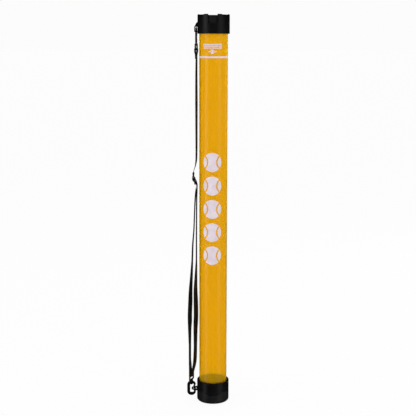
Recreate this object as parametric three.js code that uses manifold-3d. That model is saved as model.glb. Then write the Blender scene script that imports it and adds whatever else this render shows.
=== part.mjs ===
// Ball pick-up tube: a clear tube with a sprung pick-up mouth at the top, a pull-off lid at the foot,
// and a webbing carrying strap clipped to a lug on each collar by a swivel snap hook.
// Millimetres, +Z up. The origin is the centre of the foot, and the strap hangs on the -X side.
import * as THREE from "three";
import { mergeVertices } from "three/addons/utils/BufferGeometryUtils.js";
import Module from "manifold-3d";

const wasm = await Module();
wasm.setup();

// Clearances
const gap = 0.3;
const joinGap = 0.5;
const joinLead = 5;
const catchGap = 0.7;
const overshoot = 5;

// Tube: it passes a ball of up to 68.6 mm
const tubeBore = 69.6;
const tubeWall = 1.5;
const tubeInnerR = tubeBore / 2;
const tubeOuterR = tubeInnerR + tubeWall;
const socketR = tubeOuterR + gap;

// Heights up the object
const overallHeight = 1020;
const topCollarHeight = 47.2;
const baseCollarTop = 57;
const mouthDepth = 36;

// Base collar and lid
const baseWall = 5.9;
const baseR = socketR + baseWall;
const footRound = 5;
const lidFloor = 3;
const lidJoinZ = 31;
const neckWall = 2.7;
const neckEdge = 0.5;
const stopZ = 6;
const stopHeight = 3;
const baseRimRound = 2;
const tabDrop = 7.4;
const tabRise = 4;
const tabHalfTop = 26;
const tabHalfBottom = 10.5;
const tabCount = 4;

// Top collar, its notches and the ball catches
const topWall = 4.4;
const topR = socketR + topWall;
const topCollarZ = overallHeight - topCollarHeight;
const tubeTopZ = overallHeight - mouthDepth;
const ringHeight = 12;
const mouthR = tubeInnerR + 0.4;
const mouthChamfer = 1.8;
const rimRound = 1.2;
const rimEdge = 0.4;
const catchCount = 3;
const notchTurn = -93.2;
const notchHalf = 11.8;
const notchDepth = 22.3;
const notchCorner = 7;
const lipHeight = 1.3;
const lipWidth = 12.5;
const lipRoot = 4;
const lipEdge = 0.6;
const catchInnerR = tubeInnerR + 0.1;
const catchWall = 2.4;
const catchRootHalf = 6;
const catchRootGap = 0.6;
const catchRootHeight = 6;
const catchTopDrop = 1.5;
const catchTopEdge = 0.9;
const beadReach = 3.1;
const beadBelowTop = 6;
const beadHalf = 1.2;
const beadRamp = 6;
const pocketR = catchInnerR + catchWall + 0.4;
const pocketHeight = 8;

// Strap lugs
const lugRoot = 4;
const lugFlare = 1;
const upperLugThick = 4.6;
const upperLugBar = 2;
const upperLugArm = 3.4;
const upperLugBase = topCollarZ + 4;
const upperLugSlopeOut = 2.4;
const upperLugSlopeRise = 11;
const upperLugRootRise = 14;
const upperLugEdge = 0.4;
const upperHoleRound = 1.2;
const lowerLugZ = 28;
const lowerLugThick = 4;
const lowerLugReach = 14.9;
const lowerLugHalf = 12;
const lowerLugBar = 4.2;
const lowerLugEdge = 0.5;
const lowerHoleHalf = 7;
const lowerHoleBack = 0.6;
const lowerHoleRound = 2.5;

// Snap hook, in its own frame: u across, v through, w from its bend up to its swivel
const hookThick = 5.2;
const hookWidth = 23.4;
const hookHeight = 40.2;
const hookSpine = 8;
const hookNose = 5.6;
const hookBend = 8;
const hookEdge = 0.9;
const hookOpenRound = 2.4;
const hookRest = 0.7;
const noseTopW = 2.5;
const cheekLowW = 9.8;
const pinU = 8.6;
const pinW = 12.2;
const pinR = 0.8;
const hubR = 2.2;
const tongueThick = 1.8;
const forkWidth = tongueThick + 2 * gap;
const gateInset = 0.3;
const gateToe = 0.9;
const gateSwing = 31;
const springThick = 0.4;
const springFrom = 65;
const springTo = 165;
const shankR = 1.8;
const flangeR = 4.2;
const headR = 3;
const headThick = 1.4;
const headRoom = 4;
const eyeBar = 3.5;
const eyeThick = 3.6;
const eyeOpening = 7.5;
const eyeSide = 3.2;
const eyeEdge = 0.6;
const eyeBaseW = hookHeight / 2 + 2.4;
const eyeTopW = eyeBaseW + 2 * eyeBar + eyeOpening;

// Strap webbing
const strapWidth = 20;
const strapThick = 1.4;
const eyeInnerWidth = strapWidth + 1;
const upperEyeYaw = 10;
const lowerEyeYaw = 22;
const sewnLength = 18;
const wrapHalf = eyeThick / 2 + gap + strapThick / 2;

// Slider
const sliderBar = 4;
const sliderSlot = 9;
const sliderThick = 3;
const sliderSide = 3;
const sliderEdge = 0.6;
const sliderTilt = 11.3;
const sliderOut = 13.7;
const sliderZ = 602;
const sliderCentre = new THREE.Vector3(-tubeOuterR - sliderOut, 0, sliderZ);

// Where each hook sits
const upperHookX = -(topR + 2 * gap + hookThick / 2);
const upperHoleReach = hookThick + 1.2;
const upperHoleBase = upperLugBase + upperLugArm;
const upperHoleHeight = hookBend + 1.6;
const upperHookZ = upperHoleBase + hookRest + hookBend - hookHeight / 2;
const lowerHookX = -(baseR + lowerLugReach + 0.2);
const lowerHookZ = lowerLugZ + 2.9;

const roundSegments = 64;
const smallSegments = 16;
const up = new THREE.Vector3(0, 0, 1);

const materials = {
  clearOrange: () => plastic(0xeba010, 0.12),
  collarBlack: () => plastic(0x1c1c1d, 0.45),
  lidBlack: () => plastic(0x1a1a1b, 0.5),
  acetalBlack: () => plastic(0x131314, 0.35),
  acetalGrey: () => plastic(0x2b2b2d, 0.4),
  webbingBlack: () => plastic(0x101011, 0.9),
  steel: () => new THREE.MeshStandardMaterial({ color: 0xa8a9ab, roughness: 0.3, metalness: 1 }),
};

function plastic(color, roughness) {
  return new THREE.MeshStandardMaterial({ color, roughness, metalness: 0 });
}

// Solids
function solid(geometry) {
  const closed = geometry.clone();
  closed.deleteAttribute("normal");
  closed.deleteAttribute("uv");
  const merged = mergeVertices(closed, 1e-4);
  const made = new wasm.Manifold(new wasm.Mesh({
    numProp: 3,
    vertProperties: Float32Array.from(merged.attributes.position.array),
    triVerts: Uint32Array.from(merged.index.array),
  }));
  return made;
}

function geometryOf(made) {
  const mesh = made.getMesh();
  const geometry = new THREE.BufferGeometry();
  geometry.setAttribute("position", new THREE.BufferAttribute(mesh.vertProperties, 3));
  geometry.setIndex(new THREE.BufferAttribute(mesh.triVerts, 1));
  geometry.computeVertexNormals();
  return geometry;
}

function meshNamed(name, shape, material) {
  const geometry = shape.isBufferGeometry ? shape : geometryOf(shape);
  const mesh = new THREE.Mesh(geometry, material);
  mesh.name = name;
  return mesh;
}

function revolve(profile, segments = roundSegments) {
  const points = profile.map(([r, z]) => new THREE.Vector2(r, z));
  const geometry = new THREE.LatheGeometry(points, segments);
  geometry.rotateX(Math.PI / 2);
  return geometry;
}

function rod(radius, low, high, segments = smallSegments) {
  const geometry = new THREE.CylinderGeometry(radius, radius, high - low, segments);
  geometry.rotateX(Math.PI / 2);
  geometry.translate(0, 0, (low + high) / 2);
  return geometry;
}

function block(low, high) {
  const size = high.map((value, i) => value - low[i]);
  const geometry = new THREE.BoxGeometry(...size);
  geometry.translate(...low.map((value, i) => value + size[i] / 2));
  return geometry;
}

function arcPoints(cx, cz, radius, from, to, steps) {
  return Array.from({ length: steps + 1 }, (_, i) => {
    const angle = THREE.MathUtils.degToRad(from + (to - from) * i / steps);
    return [cx + radius * Math.cos(angle), cz + radius * Math.sin(angle)];
  });
}

function roundedRect(low, high, radius, path = new THREE.Shape()) {
  const [x0, z0] = low;
  const [x1, z1] = high;
  path.moveTo(x0 + radius, z0);
  path.lineTo(x1 - radius, z0);
  path.absarc(x1 - radius, z0 + radius, radius, -Math.PI / 2, 0, false);
  path.lineTo(x1, z1 - radius);
  path.absarc(x1 - radius, z1 - radius, radius, 0, Math.PI / 2, false);
  path.lineTo(x0 + radius, z1);
  path.absarc(x0 + radius, z1 - radius, radius, Math.PI / 2, Math.PI, false);
  path.lineTo(x0, z0 + radius);
  path.absarc(x0 + radius, z0 + radius, radius, Math.PI, 1.5 * Math.PI, false);
  path.closePath();
  return path;
}

function polygon(points) {
  return new THREE.Shape(points.map(([x, y]) => new THREE.Vector2(x, y)));
}

// A slab of a shape drawn in (u, w), centred through v
function slab(shape, thickness, bevel = 0, curveSegments = 6) {
  const geometry = new THREE.ExtrudeGeometry(shape, {
    depth: thickness - 2 * bevel,
    bevelEnabled: bevel > 0,
    bevelThickness: bevel,
    bevelSize: bevel,
    bevelOffset: -bevel,
    bevelSegments: 1,
    curveSegments,
  });
  geometry.translate(0, 0, -(thickness - 2 * bevel) / 2);
  geometry.rotateX(Math.PI / 2);
  return geometry;
}

// A shape drawn in (across, height), driven outward along one bearing
function radialPrism(shape, bearing, innerR, outerR, curveSegments = 8) {
  const depth = outerR - innerR;
  const geometry = new THREE.ExtrudeGeometry(shape, { depth, bevelEnabled: false, curveSegments });
  geometry.translate(0, 0, innerR);
  const angle = THREE.MathUtils.degToRad(bearing);
  const outward = new THREE.Vector3(Math.cos(angle), Math.sin(angle), 0);
  const across = new THREE.Vector3().crossVectors(up, outward);
  geometry.applyMatrix4(new THREE.Matrix4().makeBasis(across, up, outward));
  return geometry;
}

// Webbing: a strip bent along a route whose points are [x, y, z, turn of its width in degrees]
function webbing(route, step = 9) {
  const points = route.map(([x, y, z]) => new THREE.Vector3(x, y, z));
  const curve = new THREE.CatmullRomCurve3(points, false, "centripetal");
  const steps = Math.max(6, Math.round(curve.getLength() / step));
  const frames = Array.from({ length: steps + 1 }, (_, i) => webbingFrame(curve, route, i / steps));
  const geometry = new THREE.BoxGeometry(strapWidth, strapThick, 1, 1, 1, steps);
  const position = geometry.attributes.position;
  for (let i = 0; i < position.count; i++) {
    const frame = frames[Math.round((position.getZ(i) + 0.5) * steps)];
    const moved = frame.at.clone();
    moved.addScaledVector(frame.width, position.getX(i));
    moved.addScaledVector(frame.normal, position.getY(i));
    position.setXYZ(i, moved.x, moved.y, moved.z);
  }
  geometry.computeVertexNormals();
  return geometry;
}

function webbingFrame(curve, route, along) {
  const t = curve.getUtoTmapping(along);
  const place = t * (route.length - 1);
  const index = Math.min(Math.floor(place), route.length - 2);
  const degrees = THREE.MathUtils.lerp(route[index][3], route[index + 1][3], place - index);
  const turn = THREE.MathUtils.degToRad(degrees);
  const tangent = curve.getTangent(t);
  const width = new THREE.Vector3(Math.sin(turn), Math.cos(turn), 0);
  width.addScaledVector(tangent, -width.dot(tangent)).normalize();
  const normal = new THREE.Vector3().crossVectors(tangent, width);
  return { at: curve.getPoint(t), width, normal };
}

// A plain sleeve with the tube's own bore and wall
function sleeve(low, high) {
  return revolve([
    [tubeInnerR, low], [tubeOuterR, low], [tubeOuterR, high], [tubeInnerR, high], [tubeInnerR, low],
  ]);
}

// Tube
function makeTube() {
  const low = stopZ + stopHeight + gap;
  return meshNamed("tube", sleeve(low, tubeTopZ), materials.clearOrange());
}

// Base collar and lid: four tabs of the collar drop into matching notches of the lid
function tabOutline(grow) {
  const top = lidJoinZ + gap + tabRise;
  const low = lidJoinZ + gap - tabDrop - grow;
  const flare = (tabHalfTop - tabHalfBottom) / tabDrop;
  const reach = tabHalfBottom + flare * (top - low) + grow;
  return polygon([[-tabHalfBottom - grow, low], [tabHalfBottom + grow, low], [reach, top], [-reach, top]]);
}

function tabWedges(grow) {
  let all = null;
  for (let i = 0; i < tabCount; i++) {
    const wedge = solid(radialPrism(tabOutline(grow), 360 * i / tabCount, 0, baseR + overshoot));
    all = all ? all.add(wedge) : wedge;
  }
  return all;
}

function makeBaseCollar() {
  const neckR = baseR - neckWall - gap;
  const seat = stopZ + stopHeight;
  const skirtLow = lidJoinZ + gap - tabDrop;
  const body = solid(revolve([
    [tubeInnerR, stopZ], [neckR - neckEdge, stopZ], [neckR, stopZ + neckEdge], [neckR, skirtLow],
    [baseR, skirtLow],
    ...arcPoints(baseR - baseRimRound, baseCollarTop - baseRimRound, baseRimRound, 0, 90, 4),
    [socketR, baseCollarTop], [socketR, seat], [tubeInnerR, seat], [tubeInnerR, stopZ],
  ]));
  const cutLow = skirtLow - overshoot;
  const cutR = baseR + overshoot;
  const skirtRing = solid(revolve([
    [neckR, cutLow], [cutR, cutLow], [cutR, lidJoinZ + gap], [neckR, lidJoinZ + gap], [neckR, cutLow],
  ]));
  const collar = body.subtract(skirtRing.subtract(tabWedges(0)));
  const socket = solid(rod(neckR - 1, 0, baseCollarTop, roundSegments));
  return meshNamed("base_collar", collar.add(lowerLug().subtract(socket)), materials.collarBlack());
}

function lowerLug() {
  const tip = baseR + lowerLugReach;
  const inner = baseR - lugRoot;
  const shoulder = baseR + lugRoot;
  const outline = new THREE.Shape();
  outline.moveTo(-inner, -lowerLugHalf - lugFlare);
  outline.lineTo(-shoulder, -lowerLugHalf);
  outline.quadraticCurveTo(-tip + lugFlare, -lowerLugHalf + 2 * lugFlare, -tip, 0);
  outline.quadraticCurveTo(-tip + lugFlare, lowerLugHalf - 2 * lugFlare, -shoulder, lowerLugHalf);
  outline.lineTo(-inner, lowerLugHalf + lugFlare);
  outline.closePath();
  const holeOut = [-tip + lowerLugBar, -lowerHoleHalf];
  const holeIn = [-baseR - lowerHoleBack, lowerHoleHalf];
  outline.holes.push(roundedRect(holeOut, holeIn, lowerHoleRound, new THREE.Path()));
  const geometry = new THREE.ExtrudeGeometry(outline, {
    depth: lowerLugThick - 2 * lowerLugEdge,
    bevelThickness: lowerLugEdge,
    bevelSize: lowerLugEdge,
    bevelOffset: -lowerLugEdge,
    bevelSegments: 2,
    curveSegments: 10,
  });
  geometry.translate(0, 0, lowerLugZ + lowerLugEdge);
  return solid(geometry);
}

function makeBaseLid() {
  const skirtInner = baseR - neckWall;
  const profile = [[0, 0], ...arcPoints(baseR - footRound, footRound, footRound, -90, 0, 6),
    [baseR, lidJoinZ], [skirtInner, lidJoinZ], [skirtInner, lidFloor], [0, lidFloor]];
  const cup = solid(revolve(profile));
  const skirtBand = solid(rod(baseR + overshoot, lidFloor + overshoot, baseCollarTop, roundSegments));
  const notched = cup.subtract(tabWedges(gap).intersect(skirtBand));
  return meshNamed("base_lid", notched, materials.lidBlack());
}

// Top collar
function notchOutline(inset, top) {
  const half = notchHalf - inset;
  const low = overallHeight - notchDepth + inset;
  const corner = notchCorner - inset;
  const outline = new THREE.Shape();
  outline.moveTo(-half, top);
  outline.lineTo(-half, low + corner);
  outline.absarc(-half + corner, low + corner, corner, Math.PI, 1.5 * Math.PI, false);
  outline.absarc(half - corner, low + corner, corner, 1.5 * Math.PI, 2 * Math.PI, false);
  outline.lineTo(half, top);
  outline.closePath();
  return outline;
}

function catchBearing(i) {
  return notchTurn + 360 * i / catchCount;
}

// A shape driven out through the whole wall of the rim
function rimPrism(outline, bearing) {
  return radialPrism(outline, bearing, mouthR / 2, topR + overshoot);
}

function rimLip(bearing, side) {
  const middle = notchHalf + lipWidth / 2;
  const top = overallHeight + lipHeight;
  const root = overallHeight - lipRoot;
  const half = lipWidth / 2;
  const inner = mouthR + 1;
  const outer = topR - lipEdge;
  const outline = polygon([
    [-half, root + 1], [half + 2, root + 1], [half + 1, overallHeight - rimEdge], [half - 3, top],
    [lipEdge - half, top], [-half, top - lipEdge],
  ].map(([x, z]) => [side * (x + middle), z]));
  const ring = revolve([
    [inner, root], [outer, root], [outer, top - lipEdge], [outer - lipEdge, top], [inner + lipEdge, top],
    [inner, top - lipEdge], [inner, root],
  ]);
  return solid(ring).intersect(solid(rimPrism(outline, bearing)));
}

function makeTopCollar() {
  const ledgeZ = tubeTopZ + gap + ringHeight + gap;
  let collar = solid(revolve([
    [socketR, topCollarZ], [topR - rimEdge, topCollarZ], [topR, topCollarZ + rimEdge],
    ...arcPoints(topR - rimRound, overallHeight - rimRound, rimRound, 0, 90, 3),
    [mouthR + mouthChamfer, overallHeight], [mouthR, overallHeight - mouthChamfer], [mouthR, ledgeZ],
    [socketR, ledgeZ], [socketR, topCollarZ],
  ]));
  const pocketHalf = catchRootHalf + catchGap;
  const pocketLow = ledgeZ - gap / 2;
  const pocketTop = ledgeZ + pocketHeight;
  const pocket = polygon([
    [-pocketHalf, pocketLow], [pocketHalf, pocketLow], [pocketHalf, pocketTop], [-pocketHalf, pocketTop],
  ]);
  for (let i = 0; i < catchCount; i++) {
    const bearing = catchBearing(i);
    collar = collar.add(rimLip(bearing, 1)).add(rimLip(bearing, -1));
    collar = collar.subtract(solid(rimPrism(notchOutline(0, overallHeight + overshoot), bearing)));
    const inWall = solid(rod(pocketR, ledgeZ - overshoot, overallHeight, roundSegments));
    collar = collar.subtract(solid(rimPrism(pocket, bearing)).intersect(inWall));
  }
  const bore = solid(rod(topR - lugRoot / 2, topCollarZ, overallHeight + overshoot, roundSegments));
  return meshNamed("top_collar", collar.add(upperLug().subtract(bore)), materials.collarBlack());
}

function upperLug() {
  const outer = topR + upperHoleReach + upperLugBar;
  const inner = topR - lugRoot;
  const holeTop = upperHoleBase + upperHoleHeight;
  const outline = polygon([
    [-inner, upperLugBase], [-outer + upperLugBar, upperLugBase],
    [-outer + 0.3 * upperLugBar, upperLugBase + 0.3 * upperLugBar], [-outer, upperLugBase + upperLugBar],
    [-outer, holeTop], [-topR - upperLugSlopeOut, holeTop + upperLugSlopeRise],
    [-inner, holeTop + upperLugRootRise],
  ]);
  const holeOut = [-topR - upperHoleReach, upperHoleBase];
  const holeIn = [-topR + upperHoleRound, holeTop];
  outline.holes.push(roundedRect(holeOut, holeIn, upperHoleRound, new THREE.Path()));
  return solid(slab(outline, upperLugThick, upperLugEdge));
}

function makeRetainerRing() {
  const low = tubeTopZ + gap;
  const high = low + ringHeight;
  return meshNamed("retainer_ring", sleeve(low, high), materials.acetalGrey());
}

function makeCatch(i) {
  const rootZ = tubeTopZ + gap + ringHeight + catchRootGap;
  const rootTop = rootZ + catchRootHeight;
  const top = overallHeight - catchTopDrop;
  const outerR = catchInnerR + catchWall;
  const beadR = catchInnerR - beadReach;
  const beadZ = top - beadBelowTop;
  const ring = solid(revolve([
    [catchInnerR, rootZ], [outerR, rootZ], [outerR, top - catchTopEdge], [outerR - catchTopEdge, top],
    [catchInnerR, top], [beadR, beadZ + beadHalf], [beadR, beadZ - beadHalf], [catchInnerR, beadZ - beadRamp],
    [catchInnerR, rootZ],
  ]));
  const bearing = catchBearing(i);
  const leaf = solid(rimPrism(notchOutline(catchGap, overallHeight), bearing));
  const root = solid(rimPrism(polygon([
    [-catchRootHalf, rootZ - 1], [catchRootHalf, rootZ - 1],
    [catchRootHalf, rootTop], [-catchRootHalf, rootTop],
  ]), bearing));
  return meshNamed(`ball_catch_${i + 1}`, ring.intersect(leaf.add(root)), materials.acetalGrey());
}

// Snap hook pieces in the hook's own frame
function makeHookBody() {
  const halfW = hookWidth / 2;
  const halfH = hookHeight / 2;
  const holeHalfH = halfH - hookBend;
  const holeFrom = -halfW + hookSpine;
  const holeTo = halfW - hookNose;
  const outline = roundedRect([-halfW, -halfH], [halfW, halfH], halfW - gap);
  const hole = roundedRect([holeFrom, -holeHalfH], [holeTo, holeHalfH], hookOpenRound, new THREE.Path());
  outline.holes.push(hole);
  let body = solid(slab(outline, hookThick, hookEdge));
  const throatLow = [holeTo - overshoot, -hookThick, noseTopW];
  body = body.subtract(solid(block(throatLow, [halfW + overshoot, hookThick, cheekLowW])));
  body = body.subtract(solid(rod(shankR + gap, 0, halfH + overshoot)));
  body = body.subtract(solid(rod(headR + gap, holeHalfH - headRoom, holeHalfH)));
  const forkR = hubR + springThick + 3 * gap;
  const fork = solid(slab(polygon(arcPoints(pinU, pinW, forkR, 0, 340, 17)), forkWidth));
  const forkLow = [pinU - forkR, -forkWidth / 2, cheekLowW - 1];
  const forkMouth = solid(block(forkLow, [halfW + overshoot, forkWidth / 2, pinW]));
  body = body.subtract(fork.add(forkMouth));
  return body.subtract(solid(pinRod(pinR + gap, 2 * hookThick)));
}

function pinRod(radius, length) {
  const geometry = rod(radius, -length / 2, length / 2);
  geometry.rotateX(Math.PI / 2);
  geometry.translate(pinU, 0, pinW);
  return geometry;
}

function makeGate() {
  const toeOuter = hookWidth / 2 - hookNose - gap;
  const toeLow = noseTopW - gateToe;
  const leaf = polygon([
    [pinU + 1.9, pinW - 1.1], [pinU + 0.6, noseTopW + gateToe], [toeOuter, noseTopW + gateToe / 2],
    [toeOuter, toeLow], [toeOuter - 1.6, toeLow], [toeOuter - 0.7, toeLow + 4.4], [pinU - 2.1, pinW - 0.8],
  ]);
  const wide = solid(slab(leaf, hookThick - 2 * gateInset, gateInset));
  const tongueOnly = solid(slab(shoulderCut(), 2 * hookThick));
  const hub = solid(slab(polygon(arcPoints(pinU, pinW, hubR, 0, 340, 17)), tongueThick));
  const neck = solid(slab(leaf, tongueThick));
  return wide.subtract(tongueOnly).add(neck).add(hub).subtract(solid(pinRod(pinR + gap, hookThick)));
}

// Where the gate is only as thick as its tongue: its shoulders slope, so that it swings in under the cheeks
function shoulderCut() {
  const swing = THREE.MathUtils.degToRad(gateSwing);
  const drop = pinW - cheekLowW + gap;
  const slopeEnd = drop * Math.tan(swing / 2);
  const slopeLow = (drop + overshoot * Math.sin(swing)) / Math.cos(swing);
  return polygon([
    [pinU - overshoot, pinW - slopeLow], [pinU + slopeEnd, pinW - drop], [pinU + overshoot, pinW - drop],
    [pinU + overshoot, pinW + overshoot], [pinU - overshoot, pinW + overshoot],
  ]);
}

function makeGateSpring() {
  const low = hubR + gap;
  const outer = arcPoints(pinU, pinW, low + springThick, springFrom, springTo, 8);
  const inner = arcPoints(pinU, pinW, low, springTo, springFrom, 8);
  return slab(polygon([...outer, ...inner]), tongueThick - springThick);
}

function makeSwivel(turn) {
  const half = eyeInnerWidth / 2 + eyeSide;
  const frame = roundedRect([-half, eyeBaseW], [half, eyeTopW], 2.4);
  const slotLow = [-eyeInnerWidth / 2, eyeBaseW + eyeBar];
  const slotHigh = [eyeInnerWidth / 2, eyeTopW - eyeBar];
  frame.holes.push(roundedRect(slotLow, slotHigh, 1, new THREE.Path()));
  const eye = slab(frame, eyeThick, eyeEdge);
  eye.rotateZ(Math.PI / 2 + THREE.MathUtils.degToRad(turn));
  const headTop = hookHeight / 2 - hookBend - gap;
  let made = solid(eye);
  made = made.add(solid(rod(shankR, headTop - headThick / 2, eyeBaseW + 1)));
  made = made.add(solid(rod(headR, headTop - headThick, headTop)));
  made = made.add(solid(rod(flangeR, hookHeight / 2 + gap, eyeBaseW + 1.2)));
  return made;
}

function makeHook(prefix, placement, eyeTurn) {
  const group = new THREE.Group();
  group.name = `${prefix}_hook`;
  const place = (shape) => (shape.isBufferGeometry ? shape : geometryOf(shape)).applyMatrix4(placement);
  group.add(meshNamed(`${prefix}_hook_body`, place(makeHookBody()), materials.acetalBlack()));
  group.add(meshNamed(`${prefix}_hook_gate`, place(makeGate()), materials.acetalGrey()));
  group.add(meshNamed(`${prefix}_gate_pin`, place(pinRod(pinR, hookThick)), materials.steel()));
  group.add(meshNamed(`${prefix}_gate_spring`, place(makeGateSpring()), materials.steel()));
  group.add(meshNamed(`${prefix}_swivel`, place(makeSwivel(eyeTurn)), materials.acetalBlack()));
  return group;
}

function upperHook() {
  const placement = new THREE.Matrix4().makeBasis(
    new THREE.Vector3(0, 1, 0),
    new THREE.Vector3(1, 0, 0),
    new THREE.Vector3(0, 0, -1),
  );
  placement.setPosition(upperHookX, 0, upperHookZ);
  return makeHook("upper", placement, upperEyeYaw - 90);
}

function lowerHook() {
  return makeHook("lower", new THREE.Matrix4().makeTranslation(lowerHookX, 0, lowerHookZ), -lowerEyeYaw);
}

// Slider: three bars and two rails, tilted so that its top leans away from the tube
function sliderPoint(along, out) {
  const tilt = THREE.MathUtils.degToRad(sliderTilt);
  const point = sliderCentre.clone();
  point.x += -Math.sin(tilt) * along - Math.cos(tilt) * out;
  point.z += Math.cos(tilt) * along - Math.sin(tilt) * out;
  return point;
}

function makeSlider() {
  const halfHeight = sliderSlot + 1.5 * sliderBar;
  const inner = eyeInnerWidth / 2;
  const outer = inner + sliderSide;
  const frame = roundedRect([-outer, -halfHeight], [outer, halfHeight], 2.5);
  for (const side of [-1, 1]) {
    const middle = side * (sliderBar + sliderSlot) / 2;
    const low = [-inner, middle - sliderSlot / 2];
    const high = [inner, middle + sliderSlot / 2];
    frame.holes.push(roundedRect(low, high, 1, new THREE.Path()));
  }
  const geometry = slab(frame, sliderThick, sliderEdge);
  geometry.rotateZ(Math.PI / 2);
  geometry.rotateY(-THREE.MathUtils.degToRad(sliderTilt));
  geometry.translate(...sliderCentre);
  return meshNamed("strap_slider", geometry, materials.acetalBlack());
}

// The point a little past a route's end, in line with it, where the next stretch starts
function pastEnd(route, atStart, distance = joinGap) {
  const ordered = atStart ? route : [...route].reverse();
  const [end, before] = ordered;
  const tip = new THREE.Vector3(...end.slice(0, 3));
  const along = tip.clone().sub(new THREE.Vector3(...before.slice(0, 3))).normalize();
  tip.addScaledVector(along, distance);
  return [tip.x, tip.y, tip.z, end[3]];
}

// The route round an eye's strap bar, in the eye's own plane: up one side, over and down the other
function eyeWrap(x, barInner, barOuter, away, yaw, legs) {
  const turn = THREE.MathUtils.degToRad(yaw);
  const clear = gap + strapThick / 2;
  const legEnd = barOuter + away * legs;
  const flat = [
    [-1, legEnd], [-1, (legEnd + barOuter) / 2], [-1, barOuter - away * 0.4], [-1, barInner + away * 0.4],
    [-0.55, barInner - away * clear * 0.85], [0, barInner - away * clear * 1.15],
    [0.55, barInner - away * clear * 0.85], [1, barInner + away * 0.4], [1, barOuter - away * 0.4],
    [1, (legEnd + barOuter) / 2], [1, legEnd],
  ];
  return flat.map(([side, z]) => [
    x + side * wrapHalf * Math.cos(turn),
    -side * wrapHalf * Math.sin(turn),
    z,
    yaw,
  ]);
}

// Route points from [distance off the tube, height, turn of the width, and any step sideways]
function offTube(list) {
  return list.map(([out, z, turn, y = 0]) => [-tubeOuterR - out, y, z, turn]);
}

// Strap. Each stretch of webbing is its own node, because the slider's travel changes three of them
function strapNodes() {
  const upperBarZ = upperHookZ - eyeTopW;
  const lowerBarZ = lowerHookZ + eyeTopW;
  const upperLoop = eyeWrap(upperHookX, upperBarZ + eyeBar, upperBarZ, -1, upperEyeYaw, 4);
  const lowerTurn = eyeWrap(lowerHookX, lowerBarZ - eyeBar, lowerBarZ, 1, lowerEyeYaw, 6);
  const onSlider = (list) => list.map(([along, out]) => {
    const point = sliderPoint(along, out);
    return [point.x, point.y, point.z, 0];
  });
  const closeGap = gap / 2 + strapThick / 2;
  const loopEnd = upperLoop[0][2];
  const runTop = loopEnd - sewnLength;

  const threaded = onSlider([
    [19, -2.7], [15.5, -2.6], [12, -2.5], [9.6, -1.7], [7.3, 0.7], [5, 3.2], [2.5, 4.2], [0, 4.3],
    [-2.5, 4.2], [-5, 3.2], [-7.3, 0.7], [-9.6, -1.7], [-12, -2.5], [-15.5, -2.6], [-19, -2.7],
  ]);
  const sliderLoop = onSlider([
    [-19, -4.9], [-14, -4.8], [-9, -4.5], [-5, -3.4], [-2, -2.6], [1.2, -2.4], [2.9, -1], [2.9, 1],
    [1.2, 2.4], [-1.6, 2.4], [-3.6, 1], [-5, -0.5],
  ]);

  const sewnLeg = (atStart) => {
    const turn = THREE.MathUtils.degToRad(upperEyeYaw);
    const side = atStart ? -1 : 1;
    const at = (out, z) => [
      upperHookX + side * out * Math.cos(turn), -side * out * Math.sin(turn), z, upperEyeYaw,
    ];
    const first = pastEnd(upperLoop, atStart);
    return [first, at(1.3, loopEnd - 6), at(closeGap, loopEnd - 10), at(closeGap, runTop)];
  };
  const upperMain = sewnLeg(false);
  const upperTail = sewnLeg(true);
  const upperRun = [
    pastEnd(upperMain, false), pastEnd(upperMain, false, joinLead),
    ...offTube([
      [7.5, 0.86, 12], [7.4, 0.61, 15], [7.4, 0.385, 12.5], [7.4, 0.175, 10.5], [8.1, 0.095, 9],
      [10.6, 0.045, 4],
    ].map(([out, part, turn]) => [out, THREE.MathUtils.lerp(threaded[0][2], runTop, part), turn])),
    pastEnd(threaded, true, joinLead), pastEnd(threaded, true),
  ];
  const outerRun = [
    pastEnd(threaded, false), pastEnd(threaded, false, joinLead),
    ...offTube([
      [9.5, 567, 6], [11.1, 545, 6], [12.9, 505, 5], [14.4, 466, 6], [17.4, 426, 8], [18.8, 385, 9],
      [20.8, 345, 17], [23.2, 304, 26], [24.1, 270, 32], [25.4, 235, 32], [25.3, 216, 31], [25.7, 194, 22.5],
      [25.4, 152, 14.5], [25.4, 110, 14], [24.6, 92, 18, 0.6],
    ]),
    pastEnd(lowerTurn, true, joinLead), pastEnd(lowerTurn, true),
  ];
  const innerRun = [
    pastEnd(sliderLoop, true), pastEnd(sliderLoop, true, joinLead),
    ...offTube([
      [6.4, 567, 6], [7, 545, 6], [7.4, 493, 5.5], [7.7, 430, 6], [7.8, 385, 7], [9, 345, 17],
      [10.2, 304, 27.5], [9.5, 270, 33], [9, 235, 34], [9.6, 216, 35], [10.3, 194, 30], [10.6, 152, 24],
      [11.2, 127, 25], [12.4, 105, 26], [14.8, 90, 24, -0.6],
    ]),
    pastEnd(lowerTurn, false, joinLead), pastEnd(lowerTurn, false),
  ];

  const parts = [
    ["strap_upper_loop", upperLoop, 1.1],
    ["strap_upper_main", upperMain, 4],
    ["strap_upper_tail", upperTail, 4],
    ["strap_upper_run", upperRun, 9],
    ["strap_threaded", threaded, 1.3],
    ["strap_outer_run", outerRun, 9],
    ["strap_lower_turn", lowerTurn, 1.1],
    ["strap_inner_run", innerRun, 9],
    ["strap_slider_loop", sliderLoop, 1.1],
  ];
  return parts.map(([name, route, step]) => meshNamed(name, webbing(route, step), materials.webbingBlack()));
}

const group = new THREE.Group();
group.name = "ball_pickup_tube";
group.add(makeTube(), makeTopCollar(), makeRetainerRing());
for (let i = 0; i < catchCount; i++) {
  group.add(makeCatch(i));
}
group.add(makeBaseCollar(), makeBaseLid(), upperHook(), lowerHook(), makeSlider(), ...strapNodes());

export default group;
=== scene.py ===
# Ball pick-up tube: clear orange tube, black moulded ends, webbing strap on two snap hooks.
# Metres. +Z runs up the tube, the strap hangs on the -X side and -Y is the front.
import math

import bmesh
import bpy
from mathutils import Matrix, Vector


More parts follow.
